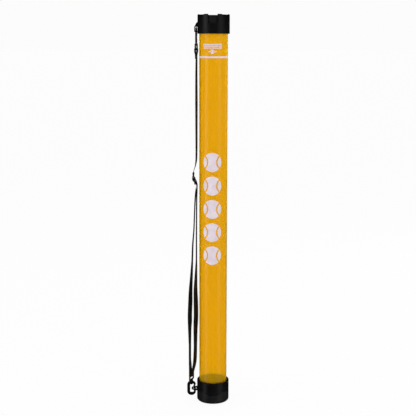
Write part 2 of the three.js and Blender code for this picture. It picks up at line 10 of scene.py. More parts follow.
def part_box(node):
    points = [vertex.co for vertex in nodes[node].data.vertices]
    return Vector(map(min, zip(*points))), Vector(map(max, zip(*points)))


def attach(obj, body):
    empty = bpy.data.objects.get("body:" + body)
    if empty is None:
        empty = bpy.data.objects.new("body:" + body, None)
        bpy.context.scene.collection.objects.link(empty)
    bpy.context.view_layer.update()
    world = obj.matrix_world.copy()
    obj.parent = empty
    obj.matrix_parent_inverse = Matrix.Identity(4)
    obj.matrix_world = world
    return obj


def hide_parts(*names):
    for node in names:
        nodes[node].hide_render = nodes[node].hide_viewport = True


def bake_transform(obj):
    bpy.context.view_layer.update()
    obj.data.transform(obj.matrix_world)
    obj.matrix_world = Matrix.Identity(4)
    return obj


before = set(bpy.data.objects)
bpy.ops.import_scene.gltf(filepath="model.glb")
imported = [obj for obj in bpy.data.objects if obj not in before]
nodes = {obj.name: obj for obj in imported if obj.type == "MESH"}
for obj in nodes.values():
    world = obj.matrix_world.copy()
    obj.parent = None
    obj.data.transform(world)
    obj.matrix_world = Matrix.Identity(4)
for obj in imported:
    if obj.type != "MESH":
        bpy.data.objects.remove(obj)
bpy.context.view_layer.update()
scene = bpy.context.scene
mm = 0.001


cameraSet = {
    "height": 0.9447,
    "distance": 2.4435,
    "pitch": 9.763,  # degrees below level
    "roll": 0.124,
    "lens": 81.99,
    "shiftX": -0.0126,
    "shiftY": 0.0,
}


def placeCamera():
    data = bpy.data.cameras.new("viewCamera")
    data.lens = cameraSet["lens"]
    data.sensor_width = 36
    data.shift_x = cameraSet["shiftX"]
    data.shift_y = cameraSet["shiftY"]
    data.clip_start = 0.05
    data.clip_end = 300
    camera = bpy.data.objects.new("viewCamera", data)
    scene.collection.objects.link(camera)
    turn = Matrix.Rotation(math.radians(90 - cameraSet["pitch"]), 3, "X")
    turn = turn @ Matrix.Rotation(math.radians(cameraSet["roll"]), 3, "Z")
    camera.rotation_euler = turn.to_euler()
    camera.location = (0, -cameraSet["distance"], cameraSet["height"])
    scene.camera = camera


lightSet = {
    # name: (place, aimed at, width, height, watts)
    "leftSoftbox": ((-1.42, -0.80, 0.75), (0, 0, 0.6), 0.7, 3.0, 5),
    "rightSoftbox": ((1.28, -0.98, 0.45), (0, 0, 0.5), 0.8, 2.6, 2.6),
    "topSoftbox": ((0.1, -0.5, 2.6), (0, 0, 0.6), 1.6, 1.2, 12),
    "backSoftbox": ((1.9, 1.6, 1.2), (0, 0, 0.5), 1.0, 1.8, 12),
}

unmirroredLights = ("topSoftbox", "backSoftbox")


def placeLights():
    for name, (place, aim, width, height, watts) in lightSet.items():
        data = bpy.data.lights.new(name, "AREA")
        data.shape = "RECTANGLE"
        data.size = width
        data.size_y = height
        data.energy = watts
        light = bpy.data.objects.new(name, data)
        scene.collection.objects.link(light)
        light.location = place
        toward = Vector(aim) - Vector(place)
        light.rotation_euler = toward.to_track_quat("-Z", "Y").to_euler()
        light.visible_glossy = name not in unmirroredLights


# strength of the surroundings: looked at or through, lighting the object, mirrored in it
worldSet = {"seen": 0.972, "around": 1.05, "mirrored": 0.02}


def makeWorld():
    world = bpy.data.worlds.new("studio")
    scene.world = world
    world.use_nodes = True
    tree = world.node_tree
    tree.nodes.clear()
    out = tree.nodes.new("ShaderNodeOutputWorld")
    back = tree.nodes.new("ShaderNodeBackground")
    rays = tree.nodes.new("ShaderNodeLightPath")
    seen = tree.nodes.new("ShaderNodeMath")
    seen.operation = "MAXIMUM"
    unseen = tree.nodes.new("ShaderNodeMapRange")
    unseen.inputs["To Min"].default_value = worldSet["around"]
    unseen.inputs["To Max"].default_value = worldSet["mirrored"]
    level = tree.nodes.new("ShaderNodeMapRange")
    level.inputs["To Max"].default_value = worldSet["seen"]
    back.inputs["Color"].default_value = (1, 1, 1, 1)
    tree.links.new(rays.outputs["Is Camera Ray"], seen.inputs[0])
    tree.links.new(rays.outputs["Is Transmission Ray"], seen.inputs[1])
    tree.links.new(rays.outputs["Is Glossy Ray"], unseen.inputs["Value"])
    tree.links.new(seen.outputs[0], level.inputs["Value"])
    tree.links.new(unseen.outputs[0], level.inputs["To Min"])
    tree.links.new(level.outputs[0], back.inputs["Strength"])
    tree.links.new(back.outputs[0], out.inputs["Surface"])


floorSet = {"size": 200, "drop": 0.4 * mm, "tone": 0.05, "glow": 0.925}


def makeFloor():
    size = floorSet["size"]
    corners = [(-size, -size, 0), (size, -size, 0), (size, size, 0), (-size, size, 0)]
    mesh = bpy.data.meshes.new("paleFloor")
    mesh.from_pydata(corners, [], [(0, 1, 2, 3)])
    floor = bpy.data.objects.new("paleFloor", mesh)
    scene.collection.objects.link(floor)
    floor.location.z = -floorSet["drop"]
    material = bpy.data.materials.new("palePaper")
    material.use_nodes = True
    shader = material.node_tree.nodes["Principled BSDF"]
    tone = floorSet["tone"]
    shader.inputs["Base Color"].default_value = (tone, tone, tone, 1)
    shader.inputs["Roughness"].default_value = 0.9
    shader.inputs["Specular IOR Level"].default_value = 0.0
    shader.inputs["Emission Color"].default_value = (1, 1, 1, 1)
    shader.inputs["Emission Strength"].default_value = floorSet["glow"]
    mesh.materials.append(material)
    floor.visible_glossy = False


placeCamera()
placeLights()
makeWorld()
makeFloor()
scene.view_settings.view_transform = "Standard"
print("camera, lights and floor placed")


def newGroup(name, inputs, outputs):
    group = bpy.data.node_groups.new(name, "ShaderNodeTree")
    for label, kind, value in inputs:
        socket = group.interface.new_socket(label, in_out="INPUT", socket_type=kind)
        if value is not None:
            socket.default_value = value
    for label, kind in outputs:
        group.interface.new_socket(label, in_out="OUTPUT", socket_type=kind)
    start = group.nodes.new("NodeGroupInput")
    end = group.nodes.new("NodeGroupOutput")
    return group, start, end


def addNode(tree, kind, settings=None, values=None):
    node = tree.nodes.new(kind)
    for key, value in (settings or {}).items():
        setattr(node, key, value)
    for key, value in (values or {}).items():
        node.inputs[key].default_value = value
    return node


def makeMouldGrain():
    # fine spark-eroded skin of a moulding: a height and a mask of slightly shinier patches
    group, start, end = newGroup(
        "mouldGrain",
        [("Vector", "NodeSocketVector", None), ("Scale", "NodeSocketFloat", 900.0),
         ("Patch Scale", "NodeSocketFloat", 26.0)],
        [("Height", "NodeSocketFloat"), ("Patches", "NodeSocketFloat")],
    )
    link = group.links.new
    grain = addNode(group, "ShaderNodeTexNoise", values={"Detail": 3.0, "Roughness": 0.55})
    cells = addNode(group, "ShaderNodeTexVoronoi", {"feature": "SMOOTH_F1"})
    patches = addNode(group, "ShaderNodeTexNoise", values={"Detail": 4.0, "Roughness": 0.6})
    both = addNode(group, "ShaderNodeMath", {"operation": "MULTIPLY_ADD"}, {2: 0.0})
    sharpen = addNode(group, "ShaderNodeMapRange", values={"From Min": 0.34, "From Max": 0.68})
    for texture, scale in ((grain, "Scale"), (cells, "Scale"), (patches, "Patch Scale")):
        link(start.outputs["Vector"], texture.inputs["Vector"])
        link(start.outputs[scale], texture.inputs["Scale"])
    link(grain.outputs[0], both.inputs[0])
    link(cells.outputs["Distance"], both.inputs[1])
    link(patches.outputs[0], sharpen.inputs["Value"])
    link(both.outputs[0], end.inputs["Height"])
    link(sharpen.outputs[0], end.inputs["Patches"])
    return group


def makeScuffs():
    # hairline scratches and smudges from handling
    group, start, end = newGroup(
        "handlingScuffs",
        [("Vector", "NodeSocketVector", None), ("Scale", "NodeSocketFloat", 60.0),
         ("Lean", "NodeSocketFloat", 0.35), ("Thinness", "NodeSocketFloat", 0.03)],
        [("Scratches", "NodeSocketFloat"), ("Smudges", "NodeSocketFloat")],
    )
    link = group.links.new
    turn = addNode(group, "ShaderNodeVectorRotate", {"rotation_type": "AXIS_ANGLE"},
                   {"Axis": (0.3, 1.0, 0.2)})
    stretch = addNode(group, "ShaderNodeVectorMath", {"operation": "MULTIPLY"}, {1: (1.0, 1.0, 0.12)})
    bend = addNode(group, "ShaderNodeTexNoise", values={"Detail": 2.0})
    cracks = addNode(group, "ShaderNodeTexVoronoi", {"feature": "DISTANCE_TO_EDGE"})
    below = addNode(group, "ShaderNodeMath", {"operation": "LESS_THAN"})
    gate = addNode(group, "ShaderNodeMapRange", values={"From Min": 0.5, "From Max": 0.62})
    keep = addNode(group, "ShaderNodeMath", {"operation": "MULTIPLY"})
    smudge = addNode(group, "ShaderNodeTexNoise", values={"Scale": 11.0, "Detail": 5.0, "Roughness": 0.65})
    soft = addNode(group, "ShaderNodeMapRange", values={"From Min": 0.38, "From Max": 0.66})
    link(start.outputs["Vector"], turn.inputs["Vector"])
    link(start.outputs["Lean"], turn.inputs["Angle"])
    link(turn.outputs[0], stretch.inputs[0])
    link(stretch.outputs[0], cracks.inputs["Vector"])
    link(stretch.outputs[0], bend.inputs["Vector"])
    link(start.outputs["Scale"], cracks.inputs["Scale"])
    link(start.outputs["Scale"], bend.inputs["Scale"])
    link(cracks.outputs["Distance"], below.inputs[0])
    link(start.outputs["Thinness"], below.inputs[1])
    link(bend.outputs[0], gate.inputs["Value"])
    link(below.outputs[0], keep.inputs[0])
    link(gate.outputs[0], keep.inputs[1])
    link(start.outputs["Vector"], smudge.inputs["Vector"])
    link(smudge.outputs[0], soft.inputs["Value"])
    link(keep.outputs[0], end.inputs["Scratches"])
    link(soft.outputs[0], end.inputs["Smudges"])
    return group


def makeDieLines():
    # lines that an extrusion die leaves along a tube, and slow drift of its wall
    group, start, end = newGroup(
        "dieLines",
        [("Vector", "NodeSocketVector", None), ("Fineness", "NodeSocketFloat", 420.0)],
        [("Height", "NodeSocketFloat"), ("Drift", "NodeSocketFloat")],
    )
    link = group.links.new
    squeeze = addNode(group, "ShaderNodeVectorMath", {"operation": "MULTIPLY"}, {1: (1.0, 1.0, 0.004)})
    lines = addNode(group, "ShaderNodeTexNoise", values={"Detail": 2.0, "Roughness": 0.5})
    slow = addNode(group, "ShaderNodeVectorMath", {"operation": "MULTIPLY"}, {1: (14.0, 14.0, 2.2)})
    drift = addNode(group, "ShaderNodeTexNoise", values={"Scale": 1.0, "Detail": 2.0})
    link(start.outputs["Vector"], squeeze.inputs[0])
    link(start.outputs["Vector"], slow.inputs[0])
    link(squeeze.outputs[0], lines.inputs["Vector"])
    link(start.outputs["Fineness"], lines.inputs["Scale"])
    link(slow.outputs[0], drift.inputs["Vector"])
    link(lines.outputs[0], end.inputs["Height"])
    link(drift.outputs[0], end.inputs["Drift"])
    return group


def makeWeave():
    # plain weave from a strip's own coordinates: x along it and y across it, in metres
    group, start, end = newGroup(
        "webbingWeave",
        [("Vector", "NodeSocketVector", None), ("Along Pitch", "NodeSocketFloat", 0.0021),
         ("Across Pitch", "NodeSocketFloat", 0.0015)],
        [("Height", "NodeSocketFloat"), ("Yarn", "NodeSocketFloat"), ("Fuzz", "NodeSocketFloat")],
    )
    link = group.links.new
    split = addNode(group, "ShaderNodeSeparateXYZ")
    link(start.outputs["Vector"], split.inputs[0])
    waves = []
    for axis, pitch in (("X", "Along Pitch"), ("Y", "Across Pitch")):
        count = addNode(group, "ShaderNodeMath", {"operation": "DIVIDE"})
        phase = addNode(group, "ShaderNodeMath", {"operation": "MULTIPLY"}, {1: math.pi})
        wave = addNode(group, "ShaderNodeMath", {"operation": "SINE"})
        link(split.outputs[axis], count.inputs[0])
        link(start.outputs[pitch], count.inputs[1])
        link(count.outputs[0], phase.inputs[0])
        link(phase.outputs[0], wave.inputs[0])
        waves.append(wave)
    weave = addNode(group, "ShaderNodeMath", {"operation": "MULTIPLY"})
    lift = addNode(group, "ShaderNodeMapRange", values={"From Min": -0.9, "From Max": 0.9})
    rib = addNode(group, "ShaderNodeMath", {"operation": "ABSOLUTE"})
    total = addNode(group, "ShaderNodeMath", {"operation": "MULTIPLY_ADD"}, {1: 0.6})
    stretch = addNode(group, "ShaderNodeVectorMath", {"operation": "MULTIPLY"}, {1: (900.0, 5200.0, 900.0)})
    fibres = addNode(group, "ShaderNodeTexNoise", values={"Scale": 1.0, "Detail": 2.0})
    link(waves[0].outputs[0], weave.inputs[0])
    link(waves[1].outputs[0], weave.inputs[1])
    link(weave.outputs[0], lift.inputs["Value"])
    link(waves[1].outputs[0], rib.inputs[0])
    link(rib.outputs[0], total.inputs[0])
    link(lift.outputs[0], total.inputs[2])
    link(start.outputs["Vector"], stretch.inputs[0])
    link(stretch.outputs[0], fibres.inputs["Vector"])
    link(total.outputs[0], end.inputs["Height"])
    link(lift.outputs[0], end.inputs["Yarn"])
    link(fibres.outputs[0], end.inputs["Fuzz"])
    return group


mouldGrain = makeMouldGrain()
handlingScuffs = makeScuffs()
dieLines = makeDieLines()
webbingWeave = makeWeave()
print("shader groups made")


def newMaterial(name):
    material = bpy.data.materials.new(name)
    material.use_nodes = True
    tree = material.node_tree
    return material, tree, tree.nodes["Principled BSDF"]


def placeGroup(tree, group, values=None, uv=None):
    node = tree.nodes.new("ShaderNodeGroup")
    node.node_tree = group
    for key, value in (values or {}).items():
        node.inputs[key].default_value = value
    if uv:
        place = addNode(tree, "ShaderNodeUVMap", {"uv_map": uv})
        tree.links.new(place.outputs[0], node.inputs["Vector"])
    else:
        place = addNode(tree, "ShaderNodeTexCoord")
        tree.links.new(place.outputs["Object"], node.inputs["Vector"])
    return node


def mixColour(tree, mask, low, high):
    mix = addNode(tree, "ShaderNodeMix", {"data_type": "RGBA"})
    mix.inputs[6].default_value = (*low, 1)
    mix.inputs[7].default_value = (*high, 1)
    tree.links.new(mask, mix.inputs[0])
    return mix.outputs[2]


def addColour(tree, shader, mask, low, high):
    tree.links.new(mixColour(tree, mask, low, high), shader.inputs["Base Color"])


def addRoughness(tree, shader, mask, low, high):
    tree.links.new(spread(tree, mask, low, high), shader.inputs["Roughness"])


def spread(tree, mask, low, high):
    level = addNode(tree, "ShaderNodeMapRange", values={"To Min": low, "To Max": high})
    tree.links.new(mask, level.inputs["Value"])
    return level.outputs[0]


def addBump(tree, shader, height, strength, distance, before=None):
    bump = addNode(tree, "ShaderNodeBump", values={"Strength": strength, "Distance": distance})
    tree.links.new(height, bump.inputs["Height"])
    if before:
        tree.links.new(before.outputs[0], bump.inputs["Normal"])
    tree.links.new(bump.outputs[0], shader.inputs["Normal"])
    return bump


tubeFinish = {
    "clear": (0.99, 0.645, 0.006),
    "deep": (0.98, 0.635, 0.005),
    "smooth": (0.12, 0.17),
    "ior": 1.45,
    "transmission": 0.78,
    "gloss": 0.35,
}


def makeTubeMaterial():
    material, tree, shader = newMaterial("clearOrange")
    lines = placeGroup(tree, dieLines)
    scuffs = placeGroup(tree, handlingScuffs, {"Scale": 30.0, "Thinness": 0.012})
    shader.inputs["IOR"].default_value = tubeFinish["ior"]
    shader.inputs["Transmission Weight"].default_value = tubeFinish["transmission"]
    shader.inputs["Specular IOR Level"].default_value = tubeFinish["gloss"]
    addColour(tree, shader, lines.outputs["Drift"], tubeFinish["clear"], tubeFinish["deep"])
    addRoughness(tree, shader, scuffs.outputs["Smudges"], *tubeFinish["smooth"])
    first = addBump(tree, shader, lines.outputs["Height"], 0.008, 0.0001)
    addBump(tree, shader, scuffs.outputs["Scratches"], 0.012, 0.00005, first)
    return material


mouldingFinish = {
    # name: (dark, light, low and high roughness, grain scale, grain bump)
    "collarBlack": ((0.0016, 0.0016, 0.0017), (0.0034, 0.0034, 0.0036), (0.32, 0.44), 1100.0, 0.35),
    "lidBlack": ((0.0045, 0.0045, 0.0046), (0.009, 0.009, 0.0092), (0.34, 0.46), 1000.0, 0.4),
    "hookBlack": ((0.0018, 0.0018, 0.0019), (0.004, 0.004, 0.0042), (0.30, 0.42), 1500.0, 0.2),
    "catchGrey": ((0.005, 0.005, 0.0053), (0.010, 0.010, 0.0105), (0.34, 0.46), 1400.0, 0.2),
}


def makeMouldingMaterial(name):
    dark, light, rough, scale, bumpiness = mouldingFinish[name]
    material, tree, shader = newMaterial(name)
    grain = placeGroup(tree, mouldGrain, {"Scale": scale})
    scuffs = placeGroup(tree, handlingScuffs, {"Scale": 90.0, "Thinness": 0.02})
    addColour(tree, shader, grain.outputs["Patches"], dark, light)
    worn = addNode(tree, "ShaderNodeMath", {"operation": "MAXIMUM"})
    tree.links.new(grain.outputs["Patches"], worn.inputs[0])
    tree.links.new(scuffs.outputs["Scratches"], worn.inputs[1])
    addRoughness(tree, shader, worn.outputs[0], *rough)
    first = addBump(tree, shader, grain.outputs["Height"], bumpiness, 0.00012)
    addBump(tree, shader, scuffs.outputs["Scratches"], 0.1, 0.00005, first)
    return material


steelFinish = {"dark": (0.34, 0.34, 0.35), "bright": (0.52, 0.52, 0.53), "rough": (0.26, 0.42)}


def makeSteelMaterial():
    material, tree, shader = newMaterial("brightSteel")
    lines = placeGroup(tree, dieLines, {"Fineness": 2600.0})
    scuffs = placeGroup(tree, handlingScuffs, {"Scale": 400.0})
    shader.inputs["Metallic"].default_value = 1.0
    addColour(tree, shader, lines.outputs["Height"], steelFinish["dark"], steelFinish["bright"])
    addRoughness(tree, shader, scuffs.outputs["Smudges"], *steelFinish["rough"])
    addBump(tree, shader, lines.outputs["Height"], 0.15, 0.00005)
    return material


webbingFinish = {
    "low": (0.001, 0.001, 0.001),
    "high": (0.004, 0.004, 0.0043),
    "rough": (0.55, 0.85),
    "gloss": 0.3,
    "sheen": 0.04,
    "sheenSpread": 0.4,
}


def makeWebbingMaterial():
    material, tree, shader = newMaterial("webbingBlack")
    weave = placeGroup(tree, webbingWeave, uv="stripUv")
    tone = addNode(tree, "ShaderNodeMath", {"operation": "MULTIPLY"})
    tree.links.new(weave.outputs["Yarn"], tone.inputs[0])
    tree.links.new(weave.outputs["Fuzz"], tone.inputs[1])
    addColour(tree, shader, tone.outputs[0], webbingFinish["low"], webbingFinish["high"])
    addRoughness(tree, shader, weave.outputs["Fuzz"], *webbingFinish["rough"])
    shader.inputs["Specular IOR Level"].default_value = webbingFinish["gloss"]
    shader.inputs["Sheen Weight"].default_value = webbingFinish["sheen"]
    shader.inputs["Sheen Roughness"].default_value = webbingFinish["sheenSpread"]
    addBump(tree, shader, weave.outputs["Height"], 0.7, 0.0003)
    return material


threadFinish = {
    "dark": (0.012, 0.012, 0.013),
    "light": (0.04, 0.04, 0.042),
    "rough": (0.45, 0.7),
    "sheen": 0.3,
}


def makeThreadMaterial():
    material, tree, shader = newMaterial("stitchThread")
    grain = placeGroup(tree, mouldGrain, {"Scale": 2600.0, "Patch Scale": 300.0})
    addColour(tree, shader, grain.outputs["Patches"], threadFinish["dark"], threadFinish["light"])
    addRoughness(tree, shader, grain.outputs["Patches"], *threadFinish["rough"])
    shader.inputs["Sheen Weight"].default_value = threadFinish["sheen"]
    addBump(tree, shader, grain.outputs["Height"], 0.5, 0.0001)
    return material


printFinish = {"thin": (0.60, 0.52, 0.57), "full": (0.72, 0.63, 0.69), "rough": (0.38, 0.52)}


def makePrintMaterial():
    material, tree, shader = newMaterial("printWhite")
    grain = placeGroup(tree, mouldGrain, {"Scale": 1800.0, "Patch Scale": 60.0})
    scuffs = placeGroup(tree, handlingScuffs, {"Scale": 50.0, "Thinness": 0.02})
    addColour(tree, shader, grain.outputs["Patches"], printFinish["thin"], printFinish["full"])
    addRoughness(tree, shader, scuffs.outputs["Smudges"], *printFinish["rough"])
    addBump(tree, shader, grain.outputs["Height"], 0.1, 0.00004)
    return material


clearOrange = makeTubeMaterial()
mouldings = {name: makeMouldingMaterial(name) for name in mouldingFinish}
brightSteel = makeSteelMaterial()
webbingBlack = makeWebbingMaterial()
stitchThread = makeThreadMaterial()
printWhite = makePrintMaterial()
print("materials made")


def meshPiece(name, verts, faces, material, sharpAngle=35):
    mesh = bpy.data.meshes.new(name)
    mesh.from_pydata([tuple(v) for v in verts], [], faces)
    work = bmesh.new()
    work.from_mesh(mesh)
    bmesh.ops.recalc_face_normals(work, faces=work.faces)
    work.to_mesh(mesh)
    work.free()
    mesh.materials.append(material)
    piece = bpy.data.objects.new(name, mesh)
    scene.collection.objects.link(piece)
    smoothPiece(piece, sharpAngle)
    return piece


def smoothPiece(piece, sharpAngle):
    mesh = piece.data
    mesh.polygons.foreach_set("use_smooth", [True] * len(mesh.polygons))
    mesh.set_sharp_from_angle(angle=math.radians(sharpAngle))
    mesh.update()


def ringRows(rows, closed):
    # quads between rows of points, each row a closed ring, first row joined to last if closed
    faces = []
    count = len(rows[0])
    last = len(rows) if closed else len(rows) - 1
    for i in range(last):
        a = i * count
        b = ((i + 1) % len(rows)) * count
        for j in range(count):
            k = (j + 1) % count
            faces.append((a + j, a + k, b + k, b + j))
    return faces


def lathe(profile, segments):
    # a closed profile of (radius, height) turned about the tube's axis
    angles = [2 * math.pi * i / segments for i in range(segments)]
    rows = [[(r * math.cos(angle), r * math.sin(angle), z) for angle in angles] for r, z in profile]
    return [v for row in rows for v in row], ringRows(rows, True)


# welded closer than this, flat within this many degrees, a sharp edge above this many
refineSet = {"weld": 2e-6, "flatAngle": 0.6, "sharpAngle": 32, "bevelSegments": 2, "normalWeight": 80}


def refinedCopy(node, name, material, bevel, body):
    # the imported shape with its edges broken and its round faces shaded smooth
    sharpAngle = refineSet["sharpAngle"]
    mesh = nodes[node].data.copy()
    mesh.name = name
    mesh.materials.clear()
    mesh.materials.append(material)
    piece = bpy.data.objects.new(name, mesh)
    scene.collection.objects.link(piece)
    work = bmesh.new()
    work.from_mesh(mesh)
    bmesh.ops.remove_doubles(work, verts=work.verts, dist=refineSet["weld"])
    flatAngle = math.radians(refineSet["flatAngle"])
    bmesh.ops.dissolve_limit(work, angle_limit=flatAngle, verts=work.verts, edges=work.edges)
    work.to_mesh(mesh)
    work.free()
    smoothPiece(piece, sharpAngle)
    broken = piece.modifiers.new("brokenEdges", "BEVEL")
    broken.width = bevel
    broken.segments = refineSet["bevelSegments"]
    broken.limit_method = "ANGLE"
    broken.angle_limit = math.radians(sharpAngle)
    broken.use_clamp_overlap = True
    flat = piece.modifiers.new("flatFaces", "WEIGHTED_NORMAL")
    flat.weight = refineSet["normalWeight"]
    depsgraph = bpy.context.evaluated_depsgraph_get()
    finished = bpy.data.meshes.new_from_object(piece.evaluated_get(depsgraph))
    piece.modifiers.clear()
    piece.data = finished
    finished.name = name
    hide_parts(node)
    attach(piece, body)


tubeSet = {"wall": 1.5 * mm, "rimRound": 0.35 * mm, "segments": 180, "steps": 12, "sharpAngle": 30}


def makeTube():
    low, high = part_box("tube")
    outer = high.x
    inner = outer - tubeSet["wall"]
    soft = tubeSet["rimRound"]
    steps = tubeSet["steps"]
    heights = [low.z + (high.z - low.z) * i / steps for i in range(1, steps)]
    profile = [(inner + soft, low.z), (outer - soft, low.z), (outer, low.z + soft)]
    profile += [(outer, z) for z in heights]
    profile += [(outer, high.z - soft), (outer - soft, high.z)]
    profile += [(inner + soft, high.z), (inner, high.z - soft)]
    profile += [(inner, z) for z in reversed(heights)]
    profile += [(inner, low.z + soft)]
    verts, faces = lathe(profile, tubeSet["segments"])
    tube = meshPiece("clearTube", verts, faces, clearOrange, tubeSet["sharpAngle"])
    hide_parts("tube")
    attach(tube, "collector")
    return outer


tubeRadius = makeTube()
print("tube made")


printSet = {
    "proud": 0.03 * mm,  # off the tube
    "thick": 0.07 * mm,
    "columns": 14,  # faces across each patch
    "turn": -4.8,  # degrees from the front, towards the strap
    "ringLine": (912.2 * mm, 916.6 * mm),
    "ringHalf": 102,  # degrees either side of the artwork's middle
    "netRow": {
        "low": 936 * mm, "high": 947.4 * mm, "half": 25.0 * mm,
        "cell": 3.4 * mm, "line": 1.15 * mm, "tape": 2.4 * mm,
    },
    "smallBall": {
        "z": 928 * mm, "radius": 5.4 * mm,
        "dash": 4.6 * mm, "dashHalf": 0.9 * mm, "away": 8.4 * mm,
    },
    "bigBalls": {"low": 380 * mm, "high": 673 * mm, "count": 5, "radius": 24.6 * mm},
    # a seam's centre, radius and half gap as shares of the ball's radius
    "seam": {"away": 1.35, "radius": 0.86, "gap": 0.075, "steps": 40},
}


def wrapPoint(across, z, out):
    # a point of the flat artwork laid on the tube
    angle = across / tubeRadius + math.radians(printSet["turn"])
    radius = tubeRadius + out
    return (radius * math.sin(angle), -radius * math.cos(angle), z)


def inkPatch(rows):
    # a thin film from rows of (height, left, right)
    columns = printSet["columns"]
    inner = printSet["proud"]
    outer = inner + printSet["thick"]
    verts = []
    faces = []
    for z, left, right in rows:
        for out in (inner, outer):
            for i in range(columns + 1):
                verts.append(wrapPoint(left + (right - left) * i / columns, z, out))
    wide = columns + 1
    for r in range(len(rows) - 1):
        a = r * 2 * wide
        b = a + 2 * wide
        for i in range(columns):
            faces.append((a + i, b + i, b + i + 1, a + i + 1))
            faces.append((a + wide + i, a + wide + i + 1, b + wide + i + 1, b + wide + i))
        faces.append((a, a + wide, b + wide, b))
        faces.append((a + columns, b + columns, b + wide + columns, a + wide + columns))
    last = (len(rows) - 1) * 2 * wide
    for i in range(columns):
        faces.append((i, i + 1, wide + i + 1, wide + i))
        faces.append((last + i, last + wide + i, last + wide + i + 1, last + i + 1))
    return verts, faces


def joinPatches(patches):
    verts = []
    faces = []
    for patchVerts, patchFaces in patches:
        base = len(verts)
        verts += patchVerts
        faces += [tuple(base + i for i in face) for face in patchFaces]
    return verts, faces


def barPatch(low, high, left, right):
    return inkPatch([(low, left, right), (high, left, right)])


def ballPatches(z, radius):
    # a ball seen from the side: a disc parted by its two curved seams
    shares = printSet["seam"]
    centre = shares["away"] * radius
    seam = shares["radius"] * radius
    cut = shares["gap"] * radius
    steps = shares["steps"]

    def seamEdge(height, reach):
        return -centre + math.sqrt(reach * reach - height * height) if abs(height) < reach else -centre

    middle = []
    for i in range(steps + 1):
        height = radius * math.sin(math.pi * (i / steps - 0.5)) * 0.999
        half = math.sqrt(radius * radius - height * height)
        left = max(-half, seamEdge(height, seam + cut))
        middle.append((z + height, left, -left))
    reach = seam - cut
    meet = (radius ** 2 - reach ** 2 + centre ** 2) / (2 * centre)
    top = math.sqrt(radius ** 2 - meet ** 2) * 0.995
    leftPart = []
    for i in range(steps // 2 + 1):
        height = top * math.sin(math.pi * (i / (steps // 2) - 0.5))
        half = math.sqrt(radius * radius - height * height)
        leftPart.append((z + height, -half, max(-half + 1e-6, seamEdge(height, reach))))
    rightPart = [(height, -right, -left) for height, left, right in leftPart]
    return [inkPatch(middle), inkPatch(leftPart), inkPatch(rightPart)]


def addPrint(name, patches):
    verts, faces = joinPatches(patches)
    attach(meshPiece(name, verts, faces, printWhite), "collector")


def makePrints():
    low, high = printSet["ringLine"]
    half = tubeRadius * math.radians(printSet["ringHalf"])
    patches = [barPatch(low, high, half * i / 4, half * (i + 1) / 4) for i in range(-4, 4)]
    addPrint("printedRingLine", patches)

    net = printSet["netRow"]
    patches = [barPatch(net["high"] - net["tape"], net["high"], -net["half"], net["half"])]
    patches.append(barPatch(net["low"], net["low"] + net["line"], -net["half"], net["half"]))
    middle = (net["low"] + net["high"] - net["tape"]) / 2
    patches.append(barPatch(middle, middle + net["line"], -net["half"], net["half"]))
    count = int(2 * net["half"] / net["cell"])
    for i in range(count + 1):
        left = -net["half"] + (2 * net["half"] - net["line"]) * i / count
        patches.append(barPatch(net["low"] + net["line"], middle, left, left + net["line"]))
        patches.append(barPatch(middle + net["line"], net["high"] - net["tape"], left, left + net["line"]))
    addPrint("printedNetRow", patches)

    ball = printSet["smallBall"]
    patches = ballPatches(ball["z"], ball["radius"])
    for side in (-1, 1):
        left = side * ball["away"] - ball["dash"] / 2
        low, high = ball["z"] - ball["dashHalf"], ball["z"] + ball["dashHalf"]
        patches.append(barPatch(low, high, left, left + ball["dash"]))
    addPrint("printedSmallBall", patches)

    balls = printSet["bigBalls"]
    first = balls["low"] + balls["radius"]
    pitch = (balls["high"] - balls["radius"] - first) / (balls["count"] - 1)
    patches = []
    for i in range(balls["count"]):
        patches += ballPatches(first + pitch * i, balls["radius"])
    addPrint("printedBallColumn", patches)


makePrints()
print("printed marks made")


mouldedPieces = {
    # node: (piece, finish, slot, edge break in mm, body)
    "top_collar": ("topCollar", "collarBlack", "collar_black", 0.35, "collector"),
    "base_collar": ("baseCollar", "collarBlack", "collar_black", 0.4, "collector"),
    "base_lid": ("baseLid", "lidBlack", "collar_black", 0.4, "lid"),
    "retainer_ring": ("retainerRing", "catchGrey", "acetal_grey", 0.2, "collector"),
    "ball_catch_1": ("ballCatch1", "catchGrey", "acetal_grey", 0.25, "catch_1"),
    "ball_catch_2": ("ballCatch2", "catchGrey", "acetal_grey", 0.25, "catch_2"),
    "ball_catch_3": ("ballCatch3", "catchGrey", "acetal_grey", 0.25, "catch_3"),
    "upper_hook_body": ("upperHookBody", "hookBlack", "acetal_black", 0.2, "upper_hook"),
    "lower_hook_body": ("lowerHookBody", "hookBlack", "acetal_black", 0.2, "lower_hook"),
    "upper_swivel": ("upperSwivel", "hookBlack", "acetal_black", 0.2, "collector"),
    "lower_swivel": ("lowerSwivel", "hookBlack", "acetal_black", 0.2, "collector"),
    "strap_slider": ("strapSlider", "hookBlack", "acetal_black", 0.2, "slider"),
}

for node, (name, finish, slotName, bevel, body) in mouldedPieces.items():
    refinedCopy(node, name, mouldings[finish], bevel * mm, body)

plainNodes = {
    "upper_hook_gate": mouldings["catchGrey"],
    "lower_hook_gate": mouldings["catchGrey"],
    "upper_gate_pin": brightSteel,
    "lower_gate_pin": brightSteel,
    "upper_gate_spring": brightSteel,
    "lower_gate_spring": brightSteel,
}
for node, material in plainNodes.items():
    nodes[node].data.materials.clear()
    nodes[node].data.materials.append(material)
print("moulded pieces and hardware finished")


